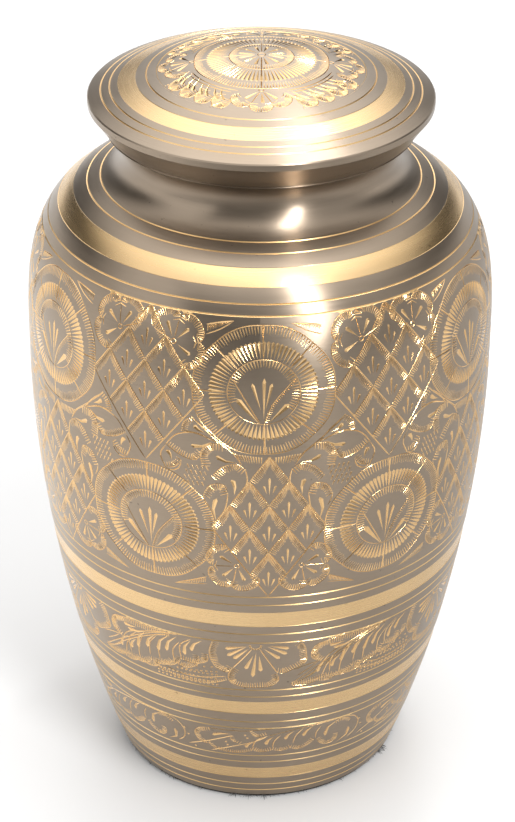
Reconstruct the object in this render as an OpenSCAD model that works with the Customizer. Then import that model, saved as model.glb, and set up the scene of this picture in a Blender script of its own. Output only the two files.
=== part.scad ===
// Cremation urn: a spun brass vessel with a lift-off domed lid and a felt foot pad.
// Every piece is a solid of revolution about +Z. The underside of the felt is at z = 0.
// The turned lines, bright bands and engraving are shallower than the wall and are
// left to the surface finish.

/* [Vessel] */
// Radius of the flat foot
foot_r = 49.8; // [48:0.1:54]
// Radius at the widest part of the belly
belly_r = 77.4; // [70:0.1:90]
// Height of the widest part above the ground
belly_z = 155; // [145:1:165]
// Radius where the shoulder turns up into the neck
shoulder_r = 52.8; // [51:0.1:56]
// Height where the shoulder turns up into the neck
shoulder_z = 218.5; // [212:0.5:221]
// Thickness of the brass wall
wall = 1.8; // [1.2:0.1:2.4]

/* [Neck] */
// Outside radius at the waist of the neck
neck_r = 44.5; // [43.5:0.1:46]
// Height of the waist of the neck
neck_z = 228.5; // [226:0.5:230]
// Outside radius of the flared mouth
mouth_r = 50.4; // [48:0.1:51]
// Height of the flat top of the mouth, where the lid rests
mouth_z = 236.5; // [234:0.5:238]
// Radius of the straight bore of the mouth
bore_r = 41.8; // [40:0.1:42]

/* [Lid] */
// Radius of the dome, at its sharp outer edge
lid_r = 55.6; // [54:0.1:58]
// Height of the edge of the lid
lid_edge_z = 246.6; // [245:0.1:248]
// Rise of the dome above the edge
dome_rise = 12.8; // [10:0.1:16]
// Power of the dome curve: 2 is a parabola and 1 is a cone
dome_power = 1.7; // [1.4:0.1:2]
// Height of the plain band under the edge
edge_band_h = 2.7; // [1.5:0.1:4]
// How far the band stands out past the edge
edge_band_out = 0.35; // [0:0.05:0.6]
// Radius of the lid where it meets the mouth
seat_r = 50.7; // [49:0.1:52]
// Depth of the skirt that drops into the mouth
skirt_h = 12; // [8:1:16]
// Gap between the skirt and the bore
skirt_gap = 0.5; // [0.3:0.1:1]

/* [Felt] */
// Thickness of the felt pad
felt_t = 1.5; // [1:0.1:3]
// Radius of the felt pad
felt_r = 48.6; // [46:0.1:49.5]

/* [Hidden] */

nickel = "#A89F90";
felt_black = "#1C1B1A";
full_round = 180;

// End handles of the wall's curves, as shares of the height that each curve spans
foot_handle = 0.30;
belly_low_handle = 0.31;
belly_top_handle = 0.46;
// Handle of the shoulder at its top, in millimetres
shoulder_handle = 28;
// End handles of the neck's curves: shares of its height, and of its reach inwards
waist_handle = 0.5;
neck_handle = 0.55;
flare_low_handle = 0.45;
flare_top_handle = 0.7;
// Outward lean of the wall at the foot, and rise of the shoulder at its top, in degrees
foot_lean = 20.5;
shoulder_rise = 19.5;
// Steps in which each curve is turned
wall_steps = 30;
shoulder_steps = 22;
neck_steps = 9;
dome_steps = 24;
corner_steps = 5;
// Round corner between the floor and the wall inside
foot_corner = 3;
// Small break on the sharp edges
edge_corner = 0.4;
// Clearance of a cutting outline past the face it opens
cut_past = 1;

// One point of a cubic curve through p[0] and p[3], with handles p[1] and p[2]
function cubic(p, t) =
    pow(1 - t, 3) * p[0] + 3 * t * pow(1 - t, 2) * p[1] + 3 * t * t * (1 - t) * p[2] + pow(t, 3) * p[3];

// Unit vector along the curve
function cubic_heading(p, t) =
    let (d = pow(1 - t, 2) * (p[1] - p[0]) + 2 * t * (1 - t) * (p[2] - p[1]) + t * t * (p[3] - p[2]))
    d / norm(d);

// The curve in n steps, moved inwards from its surface by depth
function curve_points(p, n, depth, first = 0) =
    [for (i = [first:n])
        let (t = i / n, h = cubic_heading(p, t))
        cubic(p, t) + depth * [-h[1], h[0]]];

// A round corner from angle a to angle b about a centre
function corner_points(centre, r, a, b) =
    [for (i = [0:corner_steps])
        let (q = a + (b - a) * i / corner_steps)
        centre + r * [cos(q), sin(q)]];

function reverse(list) = [for (i = [len(list) - 1:-1:0]) list[i]];

belly_low = belly_z - felt_t;
belly_top = shoulder_z - belly_z;
neck_reach = shoulder_r - neck_r;
wall_curve = [
    [foot_r, felt_t],
    [foot_r + foot_handle * belly_low * tan(foot_lean), felt_t + foot_handle * belly_low],
    [belly_r, belly_z - belly_low_handle * belly_low],
    [belly_r, belly_z]];
shoulder_curve = [
    [belly_r, belly_z],
    [belly_r, belly_z + belly_top_handle * belly_top],
    [shoulder_r + shoulder_handle * cos(shoulder_rise), shoulder_z - shoulder_handle * sin(shoulder_rise)],
    [shoulder_r, shoulder_z]];
neck_curve = [
    [shoulder_r, shoulder_z],
    [shoulder_r - neck_handle * neck_reach, shoulder_z + neck_handle * neck_reach * tan(shoulder_rise)],
    [neck_r, neck_z - waist_handle * (neck_z - shoulder_z)],
    [neck_r, neck_z]];
flare_curve = [
    [neck_r, neck_z],
    [neck_r, neck_z + flare_low_handle * (mouth_z - neck_z)],
    [mouth_r - flare_top_handle * (mouth_r - neck_r), mouth_z - 2 * edge_corner],
    [mouth_r, mouth_z - edge_corner]];

outer_outline = concat(
    curve_points(wall_curve, wall_steps, 0),
    curve_points(shoulder_curve, shoulder_steps, 0, 1),
    curve_points(neck_curve, neck_steps, 0, 1),
    curve_points(flare_curve, neck_steps, 0, 1),
    [[mouth_r - edge_corner, mouth_z]]);

// The inside follows the outside one wall in, from the floor up to the foot of the bore
floor_z = felt_t + wall;
hollow_side = concat(
    curve_points(wall_curve, wall_steps, wall),
    curve_points(shoulder_curve, shoulder_steps, wall, 1));
bore_low_z = shoulder_z - 1;
hollow_outline = concat(
    [[0, floor_z]],
    corner_points([foot_r - wall - foot_corner, floor_z + foot_corner], foot_corner, -90, -foot_lean),
    [for (p = hollow_side) if (p[1] > floor_z + 2 * foot_corner && p[1] < bore_low_z) p],
    [[bore_r, bore_low_z], [bore_r, mouth_z + cut_past], [0, mouth_z + cut_past]]);

module body() {
    color(nickel)
        rotate_extrude($fn = full_round)
            difference() {
                polygon(concat([[0, felt_t]], outer_outline, [[0, mouth_z]]));
                polygon(hollow_outline);
            }
}

// Height of the top of the dome at radius r
function dome_z(r) = lid_edge_z + dome_rise * (1 - pow(r / lid_r, dome_power));

function dome_points(r_end, drop) =
    [for (i = [0:dome_steps])
        let (r = r_end * i / dome_steps)
        [r, dome_z(r) - drop]];

skirt_r = bore_r - skirt_gap;
skirt_low_z = mouth_z - skirt_h;
band_r = lid_r + edge_band_out;
band_low_z = lid_edge_z - edge_band_h;
// The slanted underside is about half as thick again as the wall, measured level
slant_wall = 1.6 * wall;

module lid() {
    color(nickel)
        rotate_extrude($fn = full_round)
            polygon(concat(
                dome_points(lid_r, 0),
                [[band_r, lid_edge_z - edge_corner],
                 [band_r, band_low_z + edge_corner],
                 [band_r - edge_corner, band_low_z],
                 [seat_r, mouth_z + edge_corner],
                 [seat_r - edge_corner, mouth_z],
                 [skirt_r, mouth_z],
                 [skirt_r, skirt_low_z],
                 [skirt_r - wall, skirt_low_z],
                 [skirt_r - wall, mouth_z + wall],
                 [seat_r - wall, mouth_z + wall],
                 [band_r - slant_wall, band_low_z]],
                reverse(dome_points(band_r - slant_wall, wall))));
}

module felt_pad() {
    color(felt_black)
        cylinder(h = felt_t, r = felt_r, $fn = full_round);
}

body();
lid();
felt_pad();
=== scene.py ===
# %% [markdown]
# # An engraved brass urn
#
# This lesson dresses a turned metal urn whose solid form is already fixed: a hollow body, a lid that
# lifts off and a felt pad under the foot. The outline of each piece is read from the solid model, and
# the lesson adds what a lathe and a graver do to the surface: bright bands, thin lines and several
# thousand small cuts that show the gold-coloured brass under a skin of grey nickel.

# %% The frame that every piece is built in
import itertools

import bpy
import numpy as np
from mathutils import Matrix, Vector
from mathutils.geometry import delaunay_2d_cdt


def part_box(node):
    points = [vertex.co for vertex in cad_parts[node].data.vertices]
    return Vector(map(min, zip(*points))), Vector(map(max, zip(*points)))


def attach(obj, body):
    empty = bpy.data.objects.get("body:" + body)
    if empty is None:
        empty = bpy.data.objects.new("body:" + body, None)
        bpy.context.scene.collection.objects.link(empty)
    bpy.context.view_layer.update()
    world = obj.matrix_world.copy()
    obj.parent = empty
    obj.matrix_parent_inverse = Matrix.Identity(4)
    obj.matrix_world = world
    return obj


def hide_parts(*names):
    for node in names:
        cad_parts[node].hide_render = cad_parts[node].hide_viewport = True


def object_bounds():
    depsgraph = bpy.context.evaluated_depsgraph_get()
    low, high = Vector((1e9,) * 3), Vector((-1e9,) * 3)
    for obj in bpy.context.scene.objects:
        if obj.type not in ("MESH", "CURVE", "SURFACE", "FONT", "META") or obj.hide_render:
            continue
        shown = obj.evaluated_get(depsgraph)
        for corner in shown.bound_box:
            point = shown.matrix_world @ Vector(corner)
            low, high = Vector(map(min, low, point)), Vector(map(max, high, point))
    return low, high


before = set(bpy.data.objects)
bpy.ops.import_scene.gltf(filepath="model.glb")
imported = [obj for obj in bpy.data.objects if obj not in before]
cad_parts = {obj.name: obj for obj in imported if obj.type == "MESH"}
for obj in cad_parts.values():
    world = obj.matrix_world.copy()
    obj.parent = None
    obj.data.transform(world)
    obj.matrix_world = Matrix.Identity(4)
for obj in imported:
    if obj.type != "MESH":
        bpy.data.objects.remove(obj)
cad_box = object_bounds()
MM = 0.001
TURN = 2 * np.pi
print("solid pieces:", sorted(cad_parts), "height in mm:", round(cad_box[1][2] / MM, 1))

# %% [markdown]
# ## The camera first
#
# The urn is seen from the front, from about thirty degrees above, through a long lens. The camera's
# place is worked out from a distance and an elevation around a point on the urn's axis, as a tripod is
# set up: aim at the middle of the object, then raise it.


# %% Camera
AIM_HEIGHT = 0.494 * cad_box[1][2]
CAMERA_DISTANCE = 3.4985 * cad_box[1][2]
ELEVATION = np.radians(30.09)
LENS_MM = 115.75
ROLL = np.radians(0.34)
camera_data = bpy.data.cameras.new("camera")
camera_data.lens = LENS_MM
camera_data.sensor_width = 36.0
camera_data.shift_x = -0.0024
camera_data.clip_start = 0.05
camera_data.clip_end = 50.0
camera = bpy.data.objects.new("camera", camera_data)
bpy.context.scene.collection.objects.link(camera)
towards_camera = Vector((0.0, -np.cos(ELEVATION), np.sin(ELEVATION)))
camera_place = Vector((0.0, 0.0, AIM_HEIGHT)) + CAMERA_DISTANCE * towards_camera
camera.matrix_world = (
    Matrix.Translation(camera_place)
    @ towards_camera.to_track_quat("Z", "Y").to_matrix().to_4x4()
    @ Matrix.Rotation(ROLL, 4, "Z")
)
bpy.context.scene.camera = camera
print("camera", round(CAMERA_DISTANCE, 3), "m from the aim point")

# %% [markdown]
# ## Reading an outline
#
# A turned piece is one outline swept round an axis, so its whole shape is in the radius and height of
# its corner circles. The faces of the solid that look away from the axis give the outside, and those
# that look towards it give the inside. Sorted by height they are a list of points, and a smooth curve
# through them is the surface that the lathe tool followed.


# %% Outlines of the solid pieces
def read(items, field, width=1, kind=float):
    """One field of every item of a mesh as an array, with width numbers in a row."""
    values = np.empty(len(items) * width, kind)
    items.foreach_get(field, values)
    return values if width == 1 else values.reshape(-1, width)


def corner_circles(node, side):
    """Radius and height in mm of each corner circle on one side of a turned solid, lowest first.
    A face belongs to the side if its normal, measured along the radius, has the sign of side."""
    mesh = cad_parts[node].data
    mesh.calc_loop_triangles()
    triangles = read(mesh.vertices, "co", 3)[read(mesh.loop_triangles, "vertices", 3, int)] / MM
    normals = np.cross(triangles[:, 1] - triangles[:, 0], triangles[:, 2] - triangles[:, 0])
    normals /= np.linalg.norm(normals, axis=1, keepdims=True) + 1e-12
    outwards = triangles.mean(axis=1)[:, :2]
    outwards /= np.linalg.norm(outwards, axis=1, keepdims=True) + 1e-12
    on_side = side * (normals[:, :2] * outwards).sum(axis=1) > 0.004
    chosen = triangles[on_side].reshape(-1, 3)
    points = np.round(np.stack([np.hypot(chosen[:, 0], chosen[:, 1]), chosen[:, 2]], axis=1), 2)
    points = np.unique(points, axis=0)
    points = points[np.lexsort((points[:, 0], points[:, 1]))]
    apart = np.r_[True, np.abs(np.diff(points, axis=0)).max(axis=1) > 0.05]
    return points[apart]


class SmoothLine:
    """A smooth curve through points in a plane, measured by s, the distance along it in mm.
    Between neighbouring points each coordinate is a cubic, with its slopes taken from their neighbours."""

    def __init__(self, points):
        self.points = np.array(points, float)
        self.s = np.r_[0, np.cumsum(np.hypot(*np.diff(self.points, axis=0).T))]
        self.slopes = np.gradient(self.points, self.s, axis=0)
        self.length = self.s[-1]

    def at(self, s):
        """Point and unit heading at distance s, from the four cubic weights and their slopes."""
        s = np.clip(np.asarray(s, float), 0, self.length)
        i = np.clip(np.searchsorted(self.s, s) - 1, 0, len(self.s) - 2)
        span = (self.s[i + 1] - self.s[i])[..., None]
        t = (s - self.s[i])[..., None] / span
        a, b = self.points[i], self.points[i + 1]
        m, n = self.slopes[i] * span, self.slopes[i + 1] * span
        place = (2 * t**3 - 3 * t**2 + 1) * a + (t**3 - 2 * t**2 + t) * m
        place = place + (3 * t**2 - 2 * t**3) * b + (t**3 - t**2) * n
        slope = (6 * t**2 - 6 * t) * (a - b) + (3 * t**2 - 4 * t + 1) * m + (3 * t**2 - 2 * t) * n
        return place, slope / np.linalg.norm(slope, axis=-1, keepdims=True)

    def evenly(self, step):
        """Points and headings about one step apart, both ends included."""
        count = max(2, int(round(self.length / step)) + 1)
        return self.at(np.linspace(0, self.length, count))


class Outline(SmoothLine):
    """The outside of a turned piece, from its foot upwards, as points (radius, height)."""

    def surface(self, s, depth=0.0):
        """Radius and height at distance s, moved inwards by depth along the normal."""
        place, heading = self.at(s)
        return place - np.asarray(depth)[..., None] * np.stack([heading[..., 1], -heading[..., 0]], -1)

    def s_at(self, z):
        """Distance along the outline at which it reaches height z."""
        return float(np.interp(z, self.points[:, 1], self.s))


body_line = Outline(corner_circles("body", +1)[:-1])
body_inside = corner_circles("body", -1)
lid_outside = corner_circles("lid", +1)
lid_inside = corner_circles("lid", -1)
print("wall length in mm:", round(body_line.length, 1), "points:", len(body_line.points))
print("lid points outside and inside:", len(lid_outside), len(lid_inside))

# %% [markdown]
# ## What the lathe cuts
#
# Under the grey skin the metal is the colour of gold. A flat tool takes the skin off in four broad
# bands round the body, and a pointed tool cuts pairs of thin lines beside each band. The heights below
# are where the point touches the wall. Every group is laid out alike, two lines, a band and two lines,
# and the engraver's work fills the three zones between the groups.

# %% Heights of lines and bands on the body
LINE_HEIGHTS = [
    218.7, 216.9, 206.2, 203.0,
    100.85, 97.35, 84.55, 80.7,
    58.4, 55.05, 42.35, 39.0,
    24.3, 20.8, 7.9, 4.4,
]
BAND_HEIGHTS = [(210.15, 214.4), (87.9, 94.1), (46.4, 52.5), (11.6, 17.3)]
ZONES = {"flower_band": (100.85, 203.0), "scroll_band_high": (58.4, 80.7), "scroll_band_low": (24.3, 39.0)}
LINE_WIDTH = 0.54
LINE_DEPTH = 0.2
BAND_DEPTH = 0.1
BAND_EDGE = 0.12
SKIN, ENGRAVED, TURNED_LINE, BAND = range(4)
LINE_PROFILE = ((-0.5, 0.0, TURNED_LINE), (0.0, LINE_DEPTH, TURNED_LINE), (0.5, 0.0, SKIN))
RECESS = 0.8
RECESS_POINTS = 13
ROUND = 240
SHARP_DEGREES = 22.0
line_places = np.array([body_line.s_at(z) for z in LINE_HEIGHTS])
band_places = np.array([[body_line.s_at(z) for z in pair] for pair in BAND_HEIGHTS])
zone_places = {name: (body_line.s_at(a), body_line.s_at(b)) for name, (a, b) in ZONES.items()}
print("engraved heights in mm:", {k: round(b - a, 1) for k, (a, b) in zone_places.items()})


# %% [markdown]
# A turned surface is a grid: one way goes along the outline and the other way round the axis. Where
# two neighbouring stretches of the outline meet at a sharp corner, the edge between them has to stay
# sharp, or the lamp's reflection would run round the corner as if it were soft wax.


# %% Revolving a closed outline
def facing(angle):
    """Unit directions round the axis. Angle zero faces the viewer, and it grows to the right."""
    return np.stack([np.sin(angle), -np.cos(angle)], axis=1)


def circle_of(r, z):
    """ROUND points on a circle of radius r at height z."""
    a = np.arange(ROUND) / ROUND * TURN - np.pi
    return np.column_stack([r * facing(a), np.full(ROUND, float(z))])


def revolved(outline):
    """Corners and quads of an outline (radius, height) turned once round the axis.
    A point on the axis becomes one corner, so that a pole is closed by a fan of triangles."""
    corners, first, faces = [], [], []
    for r, z in outline:
        first.append(sum(len(c) for c in corners))
        corners.append(circle_of(r, z) if r > 1e-6 else np.array([[0.0, 0.0, z]]))
    k = np.arange(ROUND)
    n = (k + 1) % ROUND
    for a, b, low, high in zip(first[:-1], first[1:], corners[:-1], corners[1:]):
        if len(low) == 1 and len(high) == 1:
            continue
        if len(low) == 1:
            faces.append(np.stack([a + 0 * k, b + n, b + k, b + k], axis=1))
        elif len(high) == 1:
            faces.append(np.stack([a + k, a + n, b + 0 * k, b + 0 * k], axis=1))
        else:
            faces.append(np.stack([a + k, a + n, b + n, b + k], axis=1))
    return np.concatenate(corners), faces


def without_repeats(quads):
    """Faces as lists, with the doubled corner of a triangle left out."""
    return [list(dict.fromkeys(quad)) for quad in quads.tolist()]


def turned_stretch(s_low, s_high, step=2.0):
    """Outline points, and the finish of the stretch above each one. A line is a V as deep as
    LINE_DEPTH, and a band is a flat floor BAND_DEPTH down with steep edges."""
    stops = {round(s_low, 4): (0.0, SKIN), round(s_high, 4): (0.0, SKIN)}
    for s in np.linspace(s_low, s_high, max(2, int((s_high - s_low) / step)) + 1)[1:-1]:
        inside = ((s > band_places[:, 0] - 0.5) & (s < band_places[:, 1] + 0.5)).any()
        if not inside and np.abs(s - line_places).min() > 0.8:
            stops[round(s, 4)] = (0.0, SKIN)
    for s in line_places:
        if s_low - 0.01 < s < s_high + 0.01:
            for away, depth, bare in LINE_PROFILE:
                place = s + away * LINE_WIDTH
                if s_low - 1e-3 <= place <= s_high + 1e-3:
                    stops[round(min(max(place, s_low), s_high), 4)] = (depth, bare)
    for a, b in band_places:
        if s_low < a < s_high:
            stops[round(a, 4)] = (0.0, TURNED_LINE)
            for s in np.linspace(a + BAND_EDGE, b - BAND_EDGE, 5):
                stops[round(s, 4)] = (BAND_DEPTH, BAND)
            stops[round(b, 4)] = (0.0, SKIN)
    s = np.array(sorted(stops))
    depth = np.array([stops[x][0] for x in s])
    bare = np.array([stops[x][1] for x in s])
    return body_line.surface(s, depth), bare


# %% [markdown]
# ## What the graver cuts
#
# A graver is a small steel chisel pushed through the skin by hand. It leaves four kinds of mark: a
# short tick that starts wide and runs out to a point, a broad petal stroke, a long thin line, and a
# dot. Each mark is a few flat facets that meet at the deepest point, like the faces of a cut stone,
# and it is these facets that flash or go dark as the urn is turned. A mark is kept as corner points
# (x, y, depth) on a flat sheet with the triangles between them, so that thousands can be handled as
# one array.


# %% The four marks
hand = np.random.default_rng(11)
TICK_FACES = np.array([[0, 4, 1], [1, 4, 2], [2, 4, 3], [3, 4, 0]])
PIT_FACES = np.array([[0, 1, 4], [1, 2, 4], [2, 3, 4], [3, 0, 4]])
STROKE_FACES = np.array(
    [[0, 5, 1], [0, 2, 5], [1, 5, 6], [1, 6, 3], [2, 6, 5], [2, 4, 6], [3, 6, 7], [4, 7, 6]]
)
TICK_WIDTH = 0.46
TICK_DEPTH = 0.14


def square_to(v):
    """A direction turned a quarter to the left."""
    return np.stack([-v[..., 1], v[..., 0]], axis=-1)


def unit(v):
    """A direction made one long."""
    return v / (np.linalg.norm(v, axis=-1, keepdims=True) + 1e-9)


def marks(flat, depth, faces):
    """Corners (n, k, 2) and depths (k) of n like marks as one list of corners and one of triangles."""
    n, k = flat.shape[:2]
    corners = np.dstack([flat, np.broadcast_to(depth, (n, k))]).reshape(-1, 3)
    return corners, (faces[None] + k * np.arange(n)[:, None, None]).reshape(-1, 3)


def ticks(tails, heads, width=TICK_WIDTH, depth=TICK_DEPTH, deepest=0.3):
    """Wedges from a wide tail to a narrow head: two corners across each, and the deepest point on the
    middle line, a share of the way along."""
    tails, heads = np.atleast_2d(tails).astype(float), np.atleast_2d(heads).astype(float)
    run = heads - tails
    run = run * hand.uniform(0.88, 1.1, (len(run), 1))
    side = square_to(unit(run)) * width / 2 * hand.uniform(0.85, 1.1, (len(run), 1))
    heads, narrow = tails + run, 0.42 * side
    flat = [tails + side, tails - side, heads - narrow, heads + narrow, tails + deepest * run]
    return marks(np.stack(flat, axis=1), np.array([0, 0, 0, 0, depth]), TICK_FACES)


def strokes(roots, ends, width=1.1, depth=0.22, bend=0.0):
    """Petal strokes, thin at the root and widest close to a blunt end. The middle line is moved
    sideways by bend times its length times 4 t (1 - t), which bows it."""
    roots, ends = np.atleast_2d(roots).astype(float), np.atleast_2d(ends).astype(float)
    run = ends - roots
    left = square_to(run)
    across = unit(left) * width / 2

    def on(t, share):
        return roots + t * run + left * bend * 4 * t * (1 - t) + across * share

    spots = [(0, 0), (0.5, 0.6), (0.5, -0.6), (0.9, 1), (0.9, -1), (0.5, 0), (0.85, 0), (1, 0)]
    flat = np.stack([on(t, share) for t, share in spots], axis=1)
    return marks(flat, np.array([0, 0, 0, 0, 0, 0.7 * depth, depth, 0]), STROKE_FACES)


def cut_line(points, width, depth, step=1.6, closed=False):
    """A V along a smooth line: left edge, deep middle and right edge. An open line runs out to a point
    at both ends."""
    place, heading = SmoothLine(points).evenly(step)
    if closed:
        heading[0] = heading[-1] = unit(heading[0] + heading[-1])
    fade = np.ones(len(place))
    if not closed:
        fade[0] = fade[-1] = 0.15
    side = square_to(heading) * width / 2 * fade[:, None]
    flat = np.stack([place + side, place, place - side], axis=1)
    corners = np.dstack([flat, np.outer(fade, [0, depth, 0])]).reshape(-1, 3)
    k = 3 * np.arange(len(place) - 1)[:, None]
    faces = [[0, 1, 4], [0, 4, 3], [1, 2, 5], [1, 5, 4]]
    return corners, (k[..., None] + np.array(faces)[None]).reshape(-1, 3)


def dots(places, size=0.7, depth=0.18):
    """Four-sided pits, with the deepest point in the middle of a small square."""
    places = np.atleast_2d(places).astype(float)
    square = np.array([[-0.5, -0.5], [0.5, -0.5], [0.5, 0.5], [-0.5, 0.5], [0, 0]]) * size
    return marks(places[:, None] + square[None], np.array([0, 0, 0, 0, depth]), PIT_FACES)


def joined(parts):
    """Several sets of marks as one."""
    offsets = np.cumsum([0] + [len(corners) for corners, _ in parts])
    faces = [part[1] + offset for part, offset in zip(parts, offsets)]
    return np.concatenate([corners for corners, _ in parts]), np.concatenate(faces)


def placed(cut, x, y, mirror=False, turn=0.0):
    """Marks mirrored left to right if asked, turned by an angle in degrees, then moved to (x, y)."""
    corners = cut[0].copy()
    if mirror:
        corners[:, 0] *= -1
    c, s = np.cos(np.radians(turn)), np.sin(np.radians(turn))
    corners[:, :2] = corners[:, :2] @ np.array([[c, s], [-s, c]]) + [x, y]
    return corners, cut[1]


# %% [markdown]
# Nearly every leaf and petal in this style is a smooth edge with a fringe of ticks that point inwards,
# so one helper cuts the edge and its fringe together. The engraver rocks the tool as the fringe goes
# round, and no two ticks come out quite as long as each other.


# %% A fringed edge, arcs and straight cuts
LOBES = 8


def fringe(points, side=1, length=2.4, gap=0.82, width=TICK_WIDTH):
    """A thin cut along a smooth line, and ticks square to it, on its left for side 1 and on its right
    for -1."""
    place, heading = SmoothLine(points).evenly(gap)
    inwards = square_to(heading) * side
    return joined([ticks(place, place + inwards * length, width), cut_line(points, 0.26, 0.1)])


def straight(start, end, width, depth):
    """A straight cut."""
    start, end = np.array(start), np.array(end)
    return cut_line([start, (start + end) / 2, end], width, depth)


def arc(r, count, start=0.0, end=360.0, scallop=0.0):
    """Points on an arc between two angles in degrees. Its radius is r less scallop (1 - |sin(4 a)|),
    which gives LOBES shallow lobes in a turn."""
    a = np.radians(np.linspace(start, end, count))
    radius = r - scallop * (1 - np.abs(np.sin(a * LOBES / 2)))
    return np.stack([radius * np.cos(a), radius * np.sin(a)], axis=1)


def spokes(r_from, r_to, angles):
    """Start and end points of straight marks on rays at these angles in degrees."""
    a = np.radians(np.asarray(angles, float))
    ray = np.stack([np.cos(a), np.sin(a)], axis=1)
    return ray * r_from, ray * r_to


# %% [markdown]
# ## The wide flower band
#
# The wide band is a diaper of four motifs that repeats six times round the urn: round flowers in two
# rows, diamond lattices between them, a spray of leaves in each gap and half flowers in the corners.
# All of them are drawn in mm on the flat, x to the right and y up, around their own middle.


# %% The round flower
def round_flower():
    """A ring of ticks, a ring of long petals round an inner circle, eight rays and a sprig of grass."""
    rim, heart = 22.3, 11.1
    parts = [
        cut_line(arc(rim, 97, scallop=0.5), 0.3, 0.12, closed=True),
        ticks(*spokes(rim - 0.2, rim - 3.2, np.arange(140) * 360 / 140)),
        strokes(*spokes(heart + 0.2, heart + 5.9, np.arange(72) * 5.0), 1.22, 0.2),
        cut_line(arc(heart, 61), 0.26, 0.1, closed=True),
        ticks(*spokes(heart - 0.1, heart - 2.7, np.linspace(-35, 200, 44)), 0.5),
    ]
    parts += [straight(*ray, 0.5, 0.18) for ray in zip(*spokes(heart, rim, np.arange(8) * 45.0 + 1))]
    parts += [
        strokes([[0.0, -9.5]], [[0.1, 5.0]], 1.15),
        strokes([[-0.9, -6.2], [0.5, -6.2]], [[-3.6, 3.2], [2.5, 3.2]], 1.1),
        strokes([[-1.4, -11.0], [1.7, -10.4]], [[-8.2, -2.2], [7.6, -4.1]], 1.8, 0.26),
        cut_line([[-1.0, -11.2], [-5.0, -3.8], [-9.3, 4.1]], 0.4, 0.14),
        fringe([[0.1, -10.8], [2.4, -4.6], [9.2, 4.4]], -1, 1.3, 0.75, width=0.34),
    ]
    return joined(parts)


# %% [markdown]
# The lattice is a large diamond cut into nine. Each small diamond is fringed under its two upper edges
# and holds three short strokes, like a tuft of grass. The ticks stand square to the edge near the
# corners and turn upright towards the top, because the engraver pivots the work under the tool.


# %% The lattice of nine diamonds
def small_diamond(half_width, half_height):
    """Two fringed upper edges and a tuft. A tick's direction is shared between upright and square to
    the edge, by how far along the edge it is."""
    t = (np.arange(14) + 0.4)[:, None] / 14
    parts = []
    for way in (-1, 1):
        corner, top = np.array([way * half_width, 0.0]), np.array([0.0, half_height])
        square = unit(np.array([-way * half_height, -half_width]))
        lean = unit((1 - t) * square + t * np.array([0.0, -1.0]))
        tails = corner + t * (top - corner)
        parts.append(ticks(tails, tails + lean * (2.3 + 0.8 * t), 0.44))
        parts.append(straight(corner, top, 0.34, 0.12))
    parts.append(strokes([[0.0, -5.4]], [[0.0, 1.3]], 0.8, 0.18))
    parts.append(strokes([[-0.8, -4.9], [0.9, -5.1]], [[-1.8, -1.7], [2.0, -1.7]], 0.75, 0.18))
    return joined(parts)


def lattice(half_width, half_height):
    """Nine small diamonds in rows of one, two, three, two and one, over a plain V."""
    a, b = half_width / 3, half_height / 3
    parts = []
    for i, j in itertools.product(range(3), range(3)):
        parts.append(placed(small_diamond(a, b), (i - j) * a, (2 - i - j) * b))
    parts += [straight([way * half_width, 0.0], [0.0, -half_height], 0.45, 0.15) for way in (-1, 1)]
    return joined(parts)


# %% [markdown]
# A half flower is three fringed petals round a small boss, each with one bold stroke. The same petal
# serves in the corners of this band, in the upper scroll and on the lid.


# %% Petals and half flowers
STROKE_REACH = 0.62


def petal(direction, half_angle, reach):
    """A rounded lobe: its radius falls from reach to two thirds of it at both ends of its sector."""
    share = np.array([-1, -0.86, -0.5, 0, 0.5, 0.86, 1])
    radius = reach * np.array([0.68, 0.86, 0.97, 1, 0.97, 0.86, 0.68])
    a = np.radians(direction + half_angle * share)
    outline = np.stack([radius * np.cos(a), radius * np.sin(a)], axis=1)
    return fringe(outline, gap=0.85)


def half_flower(directions, half_angle, reach):
    """Petals side by side round a boss, with a dividing line between neighbours."""
    parts = [cut_line(arc(0.8, 17), 0.32, 0.12, step=0.5, closed=True)]
    for direction in directions:
        parts.append(petal(direction, half_angle, reach))
        ends = spokes(1.4, STROKE_REACH * reach, [direction + hand.uniform(-5, 5)])
        parts.append(strokes(*ends, 1.3, 0.24))
    for direction in directions[:-1]:
        start, end = spokes(0.9, 0.7 * reach, [direction + half_angle])
        parts.append(straight(start[0], end[0], 0.34, 0.13))
    return joined(parts)


THORN_ROOT = 3.1


def thorn(length, rise):
    """A long sliver: two lines THORN_ROOT apart that meet in a point, hatched between."""
    t = np.linspace(0.06, 0.8, 15)[:, None]
    low = t * np.array([length, rise])
    high = np.array([0.0, THORN_ROOT]) + t * np.array([length, rise - THORN_ROOT])
    point = [length, rise]
    return joined([
        cut_line([[0, 0], [length / 2, rise * 0.4], point], 0.34, 0.12),
        cut_line([[0, THORN_ROOT], [length / 2, (THORN_ROOT + rise) * 0.53], point], 0.34, 0.12),
        ticks(high, high + 0.75 * (low - high), 0.42),
    ])


# %% [markdown]
# The spray fills the gap between two round flowers and two lattices. It has a trumpet bud, five leaves
# with fringed tips that overlap like roof tiles, a patch of short dashes and a small fringed triangle.


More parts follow.
